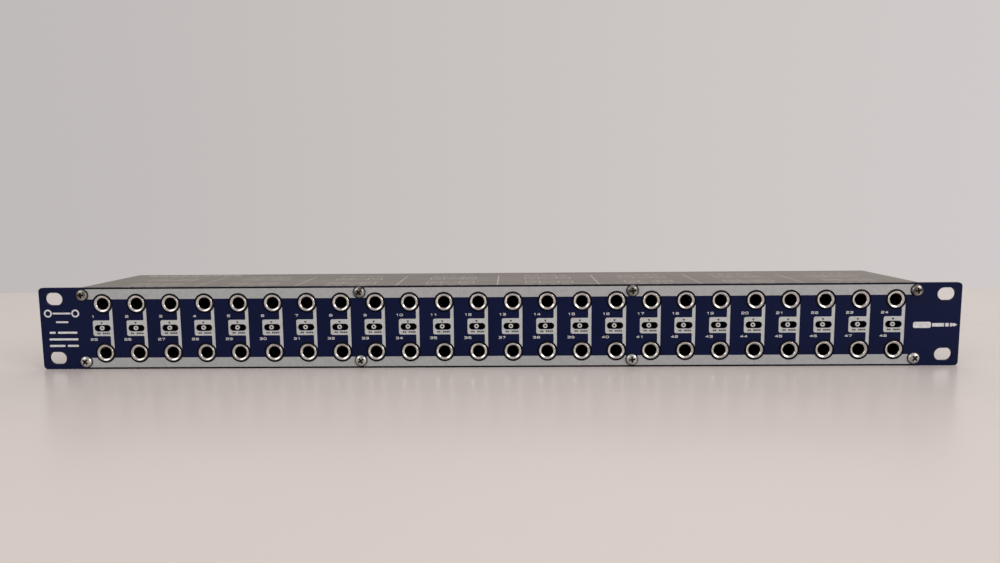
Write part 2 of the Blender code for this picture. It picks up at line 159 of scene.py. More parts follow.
def paint(name, dark, light, roughness, specular=0.5):
    """Sprayed paint: slow shade drift, uneven gloss and a fine orange peel."""
    mat = material(name, light, roughness, specular=specular)
    vary_colour(mat, noise(mat, 40, 4), dark, light)
    vary_roughness(mat, noise(mat, 220, 3), roughness - 0.05, roughness + 0.06)
    return add_bump(mat, noise(mat, 1400, 2), 0.35, 0.03)


def print_ink(name, dark, light, specular=0.4):
    """Screen-printed ink: a fine grain in shade and height."""
    mat = material(name, light, 0.55, specular=specular)
    vary_colour(mat, noise(mat, 600, 3), dark, light)
    vary_roughness(mat, noise(mat, 500, 2), 0.48, 0.62)
    return add_bump(mat, noise(mat, 4200, 2), 0.3, 0.015)


def plated(name, dark, light, roughness, grain=1.0):
    """Plated metal: slight tarnish patches and fine scuffs."""
    mat = material(name, light, roughness, metallic=1.0)
    vary_colour(mat, noise(mat, 260, 4), dark, light)
    vary_roughness(mat, noise(mat, 1500, 4, stretch=(1, 1, 0.3)), roughness * 0.75, roughness * 1.4)
    return add_bump(mat, noise(mat, 2600, 3), 0.12 * grain, 0.02)


def sheet_steel(name, dark, light, roughness, metallic):
    """Rolled sheet: faint streaks along its length, drifting shade and a fine tooth."""
    mat = material(name, light, roughness, metallic)
    vary_colour(mat, noise(mat, 60, 5, stretch=(0.25, 2.2, 1.4)), dark, light, 0.3, 0.7)
    vary_roughness(mat, noise(mat, 160, 4, stretch=(0.15, 3, 3)), roughness - 0.06, roughness + 0.08)
    return add_bump(mat, noise(mat, 2200, 3, stretch=(0.2, 1, 1)), 0.2, 0.02)


def moulded(name, dark, light, roughness, specular=0.5):
    """Moulded plastic: spark-eroded texture and slight gloss changes."""
    mat = material(name, light, roughness, specular=specular)
    vary_colour(mat, noise(mat, 180, 3), dark, light)
    vary_roughness(mat, noise(mat, 700, 3), roughness - 0.06, roughness + 0.08)
    return add_bump(mat, noise(mat, 3800, 2), 0.25, 0.02)


NAVY = paint("navy_paint", (0.0028, 0.006, 0.034), (0.0038, 0.0076, 0.041), 0.46, specular=0.09)
REAR_PAINT = paint("rear_paint", (0.016, 0.0165, 0.019), (0.022, 0.0225, 0.026), 0.5)
BAND_INK = print_ink("band_ink", (0.37, 0.38, 0.39), (0.41, 0.42, 0.43))
BOX_INK = print_ink("box_ink", (0.475, 0.49, 0.49), (0.535, 0.55, 0.55))
# Near-black for the strips at the panel's top and bottom edges: painted shade.
EDGE_SHADE_BLACK = print_ink("painted_edge_shade", (0.004, 0.004, 0.005), (0.007, 0.007, 0.009), 0.1)
WHITE_INK = print_ink("white_ink", (0.60, 0.60, 0.62), (0.72, 0.72, 0.74))
DARK_INK = print_ink("dark_ink", (0.02, 0.02, 0.03), (0.035, 0.035, 0.05), 0.2)
GREY_INK = print_ink("grey_ink", (0.04, 0.04, 0.045), (0.065, 0.065, 0.07), 0.2)
LID_INK = print_ink("lid_ink", (0.40, 0.375, 0.34), (0.48, 0.45, 0.41))
NICKEL = plated("jack_nickel", (0.56, 0.535, 0.515), (0.72, 0.695, 0.67), 0.15)
ZINC = plated("screw_zinc", (0.40, 0.39, 0.375), (0.62, 0.605, 0.58), 0.2, 2.2)
# Darker, blotchier zinc for the front's upper row of screws: painted shade.
SHADED_TOP_ZINC = plated("painted_shade_zinc", (0.07, 0.06, 0.055), (0.42, 0.40, 0.37), 0.24, 3.0)
# Near-black zinc for the walls of each screw's cross recess: painted shade.
RECESS_SHADE = plated("painted_recess_shade", (0.02, 0.018, 0.016), (0.05, 0.045, 0.04), 0.5, 2.0)
CASE_STEEL = sheet_steel("case_steel", (0.182, 0.161, 0.140), (0.237, 0.213, 0.187), 0.5, 0.35)
BLACK_NYLON = moulded("black_nylon", (0.004, 0.004, 0.005), (0.008, 0.008, 0.009), 0.5, 0.14)
BORE = moulded("bore_plastic", (0.002, 0.002, 0.006), (0.004, 0.004, 0.011), 0.6, 0.2)
WHITE_PLASTIC = moulded("lever_plastic", (0.56, 0.55, 0.53), (0.70, 0.69, 0.67), 0.3)
# Black switch plastic, also used as painted shade at the bottom of each knob's dimple.
SWITCH_BLACK_AND_DIMPLE_SHADE = moulded("switch_plastic", (0.006, 0.006, 0.007), (0.011, 0.011, 0.012), 0.5, 0.25)
BRASS = plated("spacer_brass", (0.50, 0.42, 0.26), (0.66, 0.58, 0.40), 0.28)


def board_material():
    """Green solder mask over copper tracks, with a sprinkling of bare pads."""
    mat = material("board_laminate", (0.03, 0.12, 0.05), 0.42)
    tracks = noise(mat, 260, 0, stretch=(0.25, 1, 1))
    vary_colour(mat, tracks, (0.012, 0.062, 0.026), (0.03, 0.125, 0.05), 0.47, 0.5)
    vary_roughness(mat, noise(mat, 500, 3), 0.34, 0.5)
    return add_bump(mat, tracks, 0.35, 0.035)


BOARD = board_material()


# ---------------------------------------------------------------- outlines
def anticlockwise(outline):
    area = sum(a[0] * b[1] - b[0] * a[1] for a, b in zip(outline, outline[1:] + outline[:1]))
    return list(outline) if area > 0 else list(outline)[::-1]


def circle(x, z, radius, count=56):
    angles = [k * math.tau / count for k in range(count)]
    return [(x + radius * math.cos(a), z + radius * math.sin(a)) for a in angles]


def rounded(x0, x1, z0, z1, radii, steps=6):
    """A rectangle whose corners, from lower left anticlockwise, have the radii given."""
    corners = ((x0, z0, 1, 1, math.pi), (x1, z0, -1, 1, 1.5 * math.pi), (x1, z1, -1, -1, 0),
               (x0, z1, 1, -1, 0.5 * math.pi))
    points = []
    for (x, z, sx, sz, start), radius in zip(corners, radii):
        if radius <= 0:
            points.append((x, z))
            continue
        for k in range(steps + 1):
            a = start + k / steps * math.pi / 2
            points.append((x + sx * radius + radius * math.cos(a), z + sz * radius + radius * math.sin(a)))
    return points


def slot(x, z, width, height, count=14):
    """A slot with half-round ends."""
    radius = height / 2
    reach = width / 2 - radius
    points = []
    for side in (1, -1):
        for k in range(count + 1):
            a = math.pi * (k / count - 0.5)
            points.append((x + side * (reach + radius * math.cos(a)), z + side * radius * math.sin(a)))
    return points


def grown(outline, distance):
    """The outline moved outwards by a distance, or inwards where it is negative."""
    count = len(outline)
    result = []
    for k in range(count):
        before, here, after = (Vector(outline[i % count]) for i in (k - 1, k, k + 1))
        first, second = (here - before).normalized(), (after - here).normalized()
        normal = (Vector((first.y, -first.x)) + Vector((second.y, -second.x))).normalized()
        reach = distance / max(0.3, normal.dot(Vector((first.y, -first.x))))
        result.append(tuple(here + normal * reach))
    return result


# ---------------------------------------------------------------- solids
def triangulated(loops, keep=None):
    """Triangles where keep(x, z) says so, or inside the first loop and outside the others.

    Without keep, the other loops are convex.
    """
    points = []
    edges = []
    for loop in loops:
        base = len(points)
        points += [Vector(p) for p in loop]
        edges += [(base + k, base + (k + 1) % len(loop)) for k in range(len(loop))]
    found = geometry.delaunay_2d_cdt(points, edges, [], 0 if keep else 1, 1e-5)
    verts, triangles = found[0], found[2]
    if keep:
        middle = [sum((verts[i] for i in t), Vector((0, 0))) / 3 for t in triangles]
        triangles = [t for t, m in zip(triangles, middle) if keep(m.x, m.y)]
    else:
        loop_of = [k for k, loop in enumerate(loops) for _ in loop]
        owner = [loop_of[sources[0]] for sources in found[3]]
        triangles = [t for t in triangles if len({owner[i] for i in t}) > 1 or owner[t[0]] == 0]
    return [tuple(v) for v in verts], triangles


def add_region(bm, region, y0, y1, shift=(0, 0)):
    """A thin plate of a triangulated region, closed on all sides."""
    verts, triangles = region
    used = sorted({i for t in triangles for i in t})
    front, back = ({i: bm.verts.new((verts[i][0] + shift[0], y, verts[i][1] + shift[1])) for i in used}
                   for y in (y0, y1))
    borders = {}
    for triangle in triangles:
        bm.faces.new([front[i] for i in triangle])
        bm.faces.new([back[i] for i in reversed(triangle)])
        for a, b in zip(triangle, triangle[1:] + triangle[:1]):
            if (b, a) in borders:
                del borders[(b, a)]
            else:
                borders[(a, b)] = True
    for a, b in borders:
        bm.faces.new((front[b], front[a], back[a], back[b]))


def add_plate(bm, outline, holes, y0, y1, bevel=0.0, mat=0):
    """A plate with holes, its front at y0 and its back at y1, with a small chamfer on every edge."""
    loops = [(anticlockwise(outline), -bevel)] + [(anticlockwise(hole), bevel) for hole in holes]
    caps = [grown(loop, shift) if bevel else loop for loop, shift in loops]
    verts, triangles = triangulated(caps)
    full = [loop for loop, _ in loops]
    levels = ((y0, caps), (y0 + bevel, full), (y1 - bevel, full), (y1, caps))
    if not bevel:
        levels = (levels[0], levels[3])
    rings = [[[bm.verts.new((u, y, v)) for u, v in loop] for loop in drawn] for y, drawn in levels]
    faces = []
    for near, far in zip(rings, rings[1:]):
        for a, b in zip(near, far):
            for k in range(len(a)):
                faces.append(bm.faces.new((a[k - 1], a[k], b[k], b[k - 1])))
    where = {}
    for index, point in enumerate(p for loop in caps for p in loop):
        where[(round(point[0], 3), round(point[1], 3))] = index
    flat_front = [v for loop in rings[0] for v in loop]
    flat_back = [v for loop in rings[-1] for v in loop]
    match = [where[(round(v[0], 3), round(v[1], 3))] for v in verts]
    for triangle in triangles:
        faces.append(bm.faces.new([flat_front[match[i]] for i in triangle]))
        faces.append(bm.faces.new([flat_back[match[i]] for i in reversed(triangle)]))
    for face in faces:
        face.material_index = mat


def add_turned(bm, profile, x=0.0, z=0.0, count=40, mat=0):
    """A closed shape turned about the Y direction through (x, z), from (radius, y) points."""
    angles = [k * math.tau / count for k in range(count)]
    rings = []
    for radius, y in profile:
        if radius == 0:
            rings.append([bm.verts.new((x, y, z))])
        else:
            ring = [(x + radius * math.cos(a), y, z + radius * math.sin(a)) for a in angles]
            rings.append([bm.verts.new(point) for point in ring])
    pairs = list(zip(rings, rings[1:]))
    if len(rings[0]) > 1 and len(rings[-1]) > 1:
        pairs.append((rings[-1], rings[0]))
    for a, b in pairs:
        for k in range(count):
            if len(a) == 1:
                face = bm.faces.new((a[0], b[k], b[k - 1]))
            elif len(b) == 1:
                face = bm.faces.new((a[k - 1], a[k], b[0]))
            else:
                face = bm.faces.new((a[k - 1], a[k], b[k], b[k - 1]))
            face.material_index = mat


def finished_mesh(name, bm, materials, transform=TO_WORLD):
    bmesh.ops.recalc_face_normals(bm, faces=bm.faces)
    mesh = bpy.data.meshes.new(name)
    bm.to_mesh(mesh)
    bm.free()
    mesh.transform(transform)
    for mat in materials:
        mesh.materials.append(mat)
    mesh.shade_smooth()
    mesh.set_sharp_from_angle(angle=SMOOTH_ANGLE)
    return mesh


def add_piece(name, mesh, body="case", nodes=(), matrix=None):
    obj = bpy.data.objects.new(name, mesh)
    bpy.context.scene.collection.objects.link(obj)
    if matrix is not None:
        obj.matrix_world = matrix
    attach(obj, body)
    if nodes:
        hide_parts(*nodes)
    return obj


# ---------------------------------------------------------------- front panel and its print
def make_front_panel():
    x, z, width, height = RACK_SLOT
    holes = [slot(sx * x, sz * z, width, height) for sx in (-1, 1) for sz in (-1, 1)]
    for column in COLUMN_X:
        holes.append(circle(column, UPPER_Z, HOLE_R))
        holes.append(circle(column, LOWER_Z, HOLE_R))
        holes.append(slot(column + SLOT_DX, SLOT_Z, SLOT_W, SLOT_H))
    holes += [circle(x, z, SCREW_HOLE_R, 24) for x, z in screw_spots("front_")]
    outline = rounded(PANEL_LOW.x, PANEL_HIGH.x, PANEL_LOW.z, PANEL_HIGH.z, [CORNER_R] * 4)
    bm = bmesh.new()
    add_plate(bm, outline, holes, PANEL_LOW.y, PANEL_HIGH.y, bevel=0.07)
    add_piece("navy_front_panel", finished_mesh("navy_front_panel", bm, [NAVY]),
              nodes=["front_panel"])


INK_FRONT = -0.03                          # y of the ink's face; its back is sunk in the panel
INK_BACK = 0.02
BAND_X = 216.6                             # half length of the pale bands
BANDS = ((15.65, 21.0), (-20.9, -15.75))   # z of each band's edges
INK_HOLE_R = HOLE_R + 0.08
INK_SCREW_R = 3.4                          # bare round each screw
EDGE_MARGIN = 0.08
BOX_X = (-5.8, 4.95)                       # pale box of a column
BOX_Z = (-4.0, 4.35)
BOX_CORNER_R = 1
STRIPE_X = 3.3                             # the stripe's left edge; its right edge is the box's
FILLET = 0.5
SLOT_MARGIN = 0.2                          # bare round each switch slot
POINTER = ((-1.75, 3.45), (-0.35, 3.45), (-1.05, 2.3))
RULES_X = ((-3.85, -3.05), (-2.85, -2.05), (-0.8, 0.0), (0.2, 0.95), (1.15, 1.9), (2.1, 2.9))
RULES_Z = (-3.05, -2.2)


def outside_circles(x, z, circles):
    return all((x - cx) ** 2 + (z - cz) ** 2 > (radius - 0.01) ** 2 for cx, cz, radius in circles)


def inside_slot(x, z, centre_x, centre_z, width, height):
    radius = height / 2
    reach = max(0.0, abs(x - centre_x) - (width / 2 - radius))
    return math.hypot(reach, z - centre_z) < radius


def band_region(low, high, row_z):
    circles = [(x, row_z, INK_HOLE_R) for x in COLUMN_X]
    circles += [(x, z, INK_SCREW_R) for x, z in screw_spots("front_") if z * row_z > 0]
    loops = [[(-BAND_X, low), (BAND_X, low), (BAND_X, high), (-BAND_X, high)]]
    loops += [circle(x, z, r) for x, z, r in circles]

    def keep(x, z):
        return abs(x) < BAND_X and low < z < high and outside_circles(x, z, circles)

    return triangulated(loops, keep)


def column_region():
    """Pale box round a switch slot, and the stripe at its right from one jack to the other."""
    jacks = [(0, UPPER_Z, INK_HOLE_R), (0, LOWER_Z, INK_HOLE_R)]
    radius = BOX_CORNER_R
    corners = [(BOX_X[0] + radius, BOX_Z[0] + radius), (BOX_X[0] + radius, BOX_Z[1] - radius)]
    bare_slot = (SLOT_DX, SLOT_Z, SLOT_W + 2 * SLOT_MARGIN, SLOT_H + 2 * SLOT_MARGIN)
    fillets = [(STRIPE_X - FILLET, z) for z in (BOX_Z[1] + FILLET, BOX_Z[0] - FILLET)]

    def keep(x, z):
        if not outside_circles(x, z, jacks) or inside_slot(x, z, *bare_slot):
            return False
        if STRIPE_X < x < BOX_X[1] and abs(z) < UPPER_Z:
            return True
        for cx, cz in fillets:
            if cx < x < STRIPE_X and abs(z - cz) < FILLET and abs(z) < abs(cz):
                return outside_circles(x, z, [(cx, cz, FILLET)])
        if not (BOX_X[0] < x < BOX_X[1] and BOX_Z[0] < z < BOX_Z[1]):
            return False
        for cx, cz in corners:
            if x < cx and abs(z) > abs(cz) and z * cz > 0:
                return not outside_circles(x, z, [(cx, cz, radius)])
        return True

    loops = [rounded(*BOX_X, *BOX_Z, (radius, 0, 0, radius)), slot(*bare_slot),
             [(STRIPE_X, -UPPER_Z), (BOX_X[1], -UPPER_Z), (BOX_X[1], UPPER_Z), (STRIPE_X, UPPER_Z)]]
    loops += [circle(x, z, r) for x, z, r in jacks]
    for cx, cz in fillets:
        edge = BOX_Z[1] if cz > 0 else BOX_Z[0]
        loops.append(circle(cx, cz, FILLET, 24))
        loops.append([(cx, edge), (STRIPE_X, edge), (STRIPE_X, cz), (cx, cz)])
    return triangulated(loops, keep)


def make_pale_print():
    bm = bmesh.new()
    for (low, high), row_z in zip(BANDS, (UPPER_Z, LOWER_Z)):
        add_region(bm, band_region(low, high, row_z), INK_FRONT, INK_BACK)
    add_piece("pale_bands", finished_mesh("pale_bands", bm, [BAND_INK]))
    bm = bmesh.new()
    region = column_region()
    for x in COLUMN_X:
        add_region(bm, region, INK_FRONT, INK_BACK, (x, 0))
    add_piece("pale_column_boxes", finished_mesh("pale_column_boxes", bm, [BOX_INK]))
    # Black strips between each band and the panel's edge: painted shade along the edges.
    bm = bmesh.new()
    edges = ((BANDS[0][1], PANEL_HIGH.z - EDGE_MARGIN), (PANEL_LOW.z + EDGE_MARGIN, BANDS[1][0]))
    for low, high in edges:
        add_plate(bm, rounded(-BAND_X, BAND_X, low, high, [0.1] * 4, 2), [], INK_FRONT * 0.8, INK_BACK)
    add_piece("painted_edge_shade_strips", finished_mesh("painted_edge_shade_strips", bm, [EDGE_SHADE_BLACK]))


def make_dark_marks():
    """A pointer over each slot and a row of short rules under it."""
    bm = bmesh.new()
    face_y = INK_FRONT * 2
    for x in COLUMN_X:
        add_plate(bm, [(x + dx, z) for dx, z in POINTER], [], face_y, INK_BACK)
        for x0, x1 in RULES_X:
            rule = rounded(x + x0, x + x1, *RULES_Z, [0.12] * 4, 2)
            add_plate(bm, rule, [], face_y, INK_BACK, mat=1)
    add_piece("dark_slot_marks", finished_mesh("dark_slot_marks", bm, [DARK_INK, GREY_INK]))


# The strokes of each figure, in a unit square.
DIGIT_STROKES = {
    "0": [[(0.2, 0), (0.8, 0), (1, 0.2), (1, 0.8), (0.8, 1), (0.2, 1), (0, 0.8), (0, 0.2), (0.2, 0)]],
    "1": [[(0.25, 0.78), (0.6, 1), (0.6, 0)]],
    "2": [[(0, 1), (0.8, 1), (1, 0.85), (1, 0.65), (0.8, 0.5), (0.2, 0.5), (0, 0.35), (0, 0), (1, 0)]],
    "3": [[(0, 1), (0.8, 1), (1, 0.85), (1, 0.65), (0.8, 0.5), (0.2, 0.5)],
          [(0.8, 0.5), (1, 0.35), (1, 0.15), (0.8, 0), (0, 0)]],
    "4": [[(0.75, 0), (0.75, 1), (0, 0.32), (1.05, 0.32)]],
    "5": [[(1, 1), (0, 1), (0, 0.55), (0.8, 0.55), (1, 0.4), (1, 0.15), (0.8, 0), (0, 0)]],
    "6": [[(0.95, 1), (0.2, 1), (0, 0.8), (0, 0.2), (0.2, 0), (0.8, 0), (1, 0.15), (1, 0.4),
           (0.8, 0.55), (0, 0.55)]],
    "7": [[(0, 1), (1, 1), (0.4, 0)]],
    "8": [[(0.2, 0), (0.8, 0), (1, 0.15), (1, 0.38), (0.8, 0.53), (0.95, 0.68), (0.95, 0.85), (0.8, 1),
           (0.2, 1), (0.05, 0.85), (0.05, 0.68), (0.2, 0.53), (0, 0.38), (0, 0.15), (0.2, 0)],
          [(0.2, 0.53), (0.8, 0.53)]],
    "9": [[(0.05, 0), (0.8, 0), (1, 0.2), (1, 0.8), (0.8, 1), (0.2, 1), (0, 0.85), (0, 0.6),
           (0.2, 0.45), (1, 0.45)]],
}
DIGIT_GAP = 0.35
UPPER_NUMBER = (-5.5, 6.45)                # middle of a number, from its column's middle
LOWER_NUMBER = (-5.7, -5.85)


def digit_region(digit, width, height, stroke):
    """One digit of the extended, even-stroked figures printed on the panels."""
    lines = [[(x * width, z * height) for x, z in line] for line in DIGIT_STROKES[digit]]
    legs = [(Vector(p), Vector(q)) for line in lines for p, q in zip(line, line[1:])]
    half = stroke / 2
    loops = []
    for p, q in legs:
        angle = math.atan2(q.y - p.y, q.x - p.x)
        around = [(q, angle - math.pi / 2 + k * math.pi / 6) for k in range(7)]
        around += [(p, angle + math.pi / 2 + k * math.pi / 6) for k in range(7)]
        loops.append([(c.x + half * math.cos(a), c.y + half * math.sin(a)) for c, a in around])

    def keep(x, z):
        spot = Vector((x, z))
        for p, q in legs:
            t = min(1.0, max(0.0, (spot - p).dot(q - p) / (q - p).length_squared))
            if (spot - p - (q - p) * t).length < half * 0.999:
                return True
        return False

    return triangulated(loops, keep)


def add_numbers(bm, rows, face_y, facing, width, height, stroke):
    """Numbers printed on a panel face, centred on their rows' points.

    facing is -1 for the front panel and 1 for the rear one.
    """
    figures = {digit: digit_region(digit, width, height, stroke) for digit in DIGIT_STROKES}
    step = width + stroke + DIGIT_GAP
    ink_y = face_y - facing * INK_FRONT, face_y - facing * INK_BACK
    for number, x, z in rows:
        text = str(number)
        for k, digit in enumerate(text):
            verts, triangles = figures[digit]
            shift = (k - (len(text) - 1) / 2) * step - width / 2
            drawn = [(-facing * (u + shift), v - height / 2) for u, v in verts]
            if facing > 0:
                triangles = [t[::-1] for t in triangles]
            add_region(bm, (drawn, triangles), *ink_y, (x, z))


def make_numbers():
    """Each jack's number: 1 to 24 over the switches, 25 to 48 under them."""
    bm = bmesh.new()
    rows = []
    for i, x in enumerate(COLUMN_X):
        for number, (dx, z) in ((i + 1, UPPER_NUMBER), (i + 1 + COLUMNS, LOWER_NUMBER)):
            rows.append((number, x + dx, z))
    add_numbers(bm, rows, face_y=0.0, facing=-1, width=1.42, height=1.06, stroke=0.26)
    add_piece("front_numbers", finished_mesh("front_numbers", bm, [WHITE_INK]))


# Left ear: two rings, the link between them, a dash and three rows of rules.
RINGS_X = (-237.0, -222.4)
RINGS_Z = 8.2
RING_R = 2.1
RING_HOLE_R = 1.3
LINK = (-234.5, -224.9, 7.75, 8.65)
DASH = (-233.0, -226.4, 3.1, 4.0)
RULE_ROWS = ((-2.1, ((-236.9, -233.6), (-232.4, -222.0))), (-5.7, ((-237.3, -221.7),)),
             (-9.2, ((-237.3, -228.9), (-227.7, -221.7))))
RULE_HALF_H = 0.55
# Right ear: a plug's handle, two lengths of its shank and its tip.
HANDLE = (217.0, 226.2, -1.9, 1.3)
SHANKS = ((226.8, 233.0, -1.2, 0.6), (233.6, 235.4, -1.2, 0.6))
TIP = ((236.0, -1.2), (237.0, -1.2), (237.4, -0.75), (238.0, -1.2), (239.4, -0.6), (239.6, -0.3),
       (239.4, 0.0), (238.0, 0.6), (237.4, 0.15), (237.0, 0.6), (236.0, 0.6))


def make_ear_marks():
    """Wordless marks: two linked sockets and rules on the left ear, a plug on the right one."""
    bm = bmesh.new()

    def shape(outline, holes=()):
        add_plate(bm, outline, list(holes), INK_FRONT, INK_BACK)

    for x in RINGS_X:
        shape(circle(x, RINGS_Z, RING_R, 36), [circle(x, RINGS_Z, RING_HOLE_R, 36)])
    shape(rounded(*LINK, [0.2] * 4, 3))
    shape(rounded(*DASH, [0.4] * 4, 4))
    for z, bars in RULE_ROWS:
        for x0, x1 in bars:
            shape(rounded(x0, x1, z - RULE_HALF_H, z + RULE_HALF_H, [0.5] * 4, 4))
    shape(rounded(*HANDLE, [0.9] * 4, 5))
    for shank in SHANKS:
        shape(rounded(*shank, [0] * 4))
    shape(TIP)
    add_piece("ear_marks", finished_mesh("ear_marks", bm, [WHITE_INK]))


# ---------------------------------------------------------------- jacks
# Turned profiles are (radius, y) points.
FERRULE = ((3.1, 9.0), (3.1, 0.4), (3.13, 0.22), (3.22, 0.08), (3.4, -0.05), (3.65, -0.19), (3.88, -0.31),
           (4.03, -0.37), (4.15, -0.385), (4.26, -0.33), (4.33, -0.22), (4.35, -0.08), (4.35, 3.2),
           (3.6, 3.2), (3.6, 9.0))
COLLAR = ((4.38, 4.2), (4.38, 0.32), (4.44, 0.24), (4.55, 0.2), (4.85, 0.2), (4.96, 0.26), (5.0, 0.38),
          (5.0, 4.2))
HOUSING_FRONT = 4.0
HOUSING_BACK = 31.0
BODY_BACK = 29.8
CAP_FRONT = 29.6                           # closed back of a jack body, narrower than the body
CAP_INSET = 0.5
MOUTH_R = 3.65                             # hole in the body round the ferrule
BORE_LINING = ((3.645, HOUSING_FRONT + 0.1), (3.645, 9.3), (3.2, 9.3), (3.2, 28.0), (0, 28.0))
WEB_FRONT = HOUSING_FRONT + 0.5            # webs that join neighbouring bodies
WEB_BACK = 10.0
WEB_HALF_H = 5
WEB_OVERLAP = 0.5


def add_housing(bm, x, z):
    """A moulded jack body with a blind bore, a stepped back and a collar round its ferrule."""
    outline = rounded(x - JACK_HALF_W, x + JACK_HALF_W, z - JACK_HALF_H, z + JACK_HALF_H, [0.8] * 4, 3)
    cap = grown(anticlockwise(outline), -CAP_INSET)
    add_plate(bm, outline, [circle(x, z, MOUTH_R, 40)], HOUSING_FRONT, BODY_BACK, bevel=0.25)
    add_plate(bm, cap, [], CAP_FRONT, HOUSING_BACK, bevel=0.25)
    add_turned(bm, BORE_LINING, x, z, mat=1)
    add_turned(bm, COLLAR, x, z)


def make_jack_bank(node):
    """Twelve jack bodies and their ferrules, for one bank of the CAD part."""
    columns = COLUMN_X[:12] if node.endswith("left") else COLUMN_X[12:]
    z = UPPER_Z if "upper" in node else LOWER_Z
    bodies = bmesh.new()
    ferrules = bmesh.new()
    for x in columns:
        add_housing(bodies, x, z)
        add_turned(ferrules, FERRULE, x, z, 48)
    for x in columns[1:]:
        left, right = x - PITCH + JACK_HALF_W - WEB_OVERLAP, x - JACK_HALF_W + WEB_OVERLAP
        web = rounded(left, right, z - WEB_HALF_H, z + WEB_HALF_H, [0] * 4)
        add_plate(bodies, web, [], WEB_FRONT, WEB_BACK)
    if node.startswith("rear"):
        flip = Matrix.Translation((0, CASE_DEPTH, 0)) @ Matrix.Diagonal((1, -1, 1, 1))
        for bm in (bodies, ferrules):
            bmesh.ops.transform(bm, matrix=flip, verts=bm.verts)
    label = node.replace("jacks", "jack_bodies")
    add_piece(label, finished_mesh(label, bodies, [BLACK_NYLON, BORE]), nodes=[node])
    label = node.replace("jacks", "jack_ferrules")
    add_piece(label, finished_mesh(label, ferrules, [NICKEL]))


# ---------------------------------------------------------------- switch levers
# Here y is measured from the knob's face.
KNOB = ((0.52, 1.3), (0.54, 0.25), (0.6, 0.07), (0.7, 0.0), (0.9, 0.0), (1.06, 0.06), (1.16, 0.18),
        (1.2, 0.35), (1.2, 0.75), (1.08, 0.9))
STEM = ((0, 1.0), (0.56, 1.0), (0.56, 0.85), (1.0, 0.85), (1.0, 4.45), (0, 4.45))
FOOT_HALF_W = 1.75
FOOT_Y = (4.4, 7.4)


def make_levers():
    """A pale knob with a dark dimple on a dark stem and foot, one for each switch; the dimple's dark floor
    is the stem's black top, painted shade.
    """
    bm = bmesh.new()
    add_turned(bm, KNOB, count=36)
    # The stem's black top closes the knob's hole: painted shade at the dimple's floor.
    add_turned(bm, STEM, count=24, mat=1)
    foot = rounded(-FOOT_HALF_W, FOOT_HALF_W, -FOOT_HALF_W, FOOT_HALF_W, [0.5] * 4, 4)
    add_plate(bm, foot, [], *FOOT_Y, bevel=0.2, mat=1)
    mesh = finished_mesh("lever_knob", bm, [WHITE_PLASTIC, SWITCH_BLACK_AND_DIMPLE_SHADE], transform=Matrix.Scale(MM, 4))
    for number in range(1, COLUMNS + 1):
        low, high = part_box(f"switch_lever_{number:02d}")
        spot = Vector(((low.x + high.x) / 2, low.y, (low.z + high.z) / 2))
        add_piece(f"lever_knob_{number:02d}", mesh, f"lever_{number:02d}",
                  [f"switch_lever_{number:02d}"], Matrix.Translation(spot))


# ---------------------------------------------------------------- screws
HEAD_H = 1.5
SCREW = ((0, HEAD_H), (0.9, 1.475), (1.6, 1.36), (2.2, 1.14), (2.65, 0.83), (2.93, 0.45), (3.03, 0.05),
         (3.05, -0.2), (2.98, -0.28), (1.35, -0.28), (1.35, -3.9), (0, -3.9))     # radius, height
RECESS_TOP = (4.1, 1.05, 1.8)              # length and width of the cross, and their height
RECESS_FLOOR = (1.7, 0.55, 0.35)


def add_cross(bm, length, width, height):
    """The corners of a cross, lying level at the height given."""
    a, b = length / 2, width / 2
    outline = [(a, -b), (a, b), (b, b), (b, a), (-b, a), (-b, b), (-a, b), (-a, -b), (-b, -b), (-b, -a),
               (b, -a), (b, -b)]
    return [bm.verts.new((x, y, height)) for x, y in outline]


def screw_mesh():
    """Domed pan head with a tapered cross recess and a plain shank, along +Z."""
    to_metres = Matrix.Scale(MM, 4)
    bm = bmesh.new()
    add_turned(bm, [(radius, -height) for radius, height in SCREW], count=40)
    bmesh.ops.rotate(bm, cent=(0, 0, 0), matrix=Matrix.Rotation(-math.pi / 2, 3, "X"), verts=bm.verts)
    head = bpy.data.objects.new("head", finished_mesh("head", bm, [ZINC, RECESS_SHADE], to_metres))
    cut = bmesh.new()
    top = add_cross(cut, *RECESS_TOP)
    bottom = add_cross(cut, *RECESS_FLOOR)
    cut.faces.new(top)
    cut.faces.new(bottom)
    for k in range(len(top)):
        cut.faces.new((top[k - 1], top[k], bottom[k], bottom[k - 1]))
    # The cutter's faces become the recess walls, in the near-black zinc: painted shade.
    for face in cut.faces:
        face.material_index = 1
    cutter = bpy.data.objects.new("cross", finished_mesh("cross", cut, [ZINC, RECESS_SHADE], to_metres))
    for obj in (head, cutter):
        bpy.context.scene.collection.objects.link(obj)
    mod = head.modifiers.new("recess", "BOOLEAN")
    mod.operation = "DIFFERENCE"
    mod.solver = "EXACT"
    mod.object = cutter
    bpy.context.view_layer.update()
    mesh = bpy.data.meshes.new_from_object(head.evaluated_get(bpy.context.evaluated_depsgraph_get()))
    mesh.name = "cross_head_screw"
    mesh.shade_smooth()
    mesh.set_sharp_from_angle(angle=SMOOTH_ANGLE)
    for obj in (head, cutter):
        bpy.data.objects.remove(obj, do_unlink=True)
    return mesh


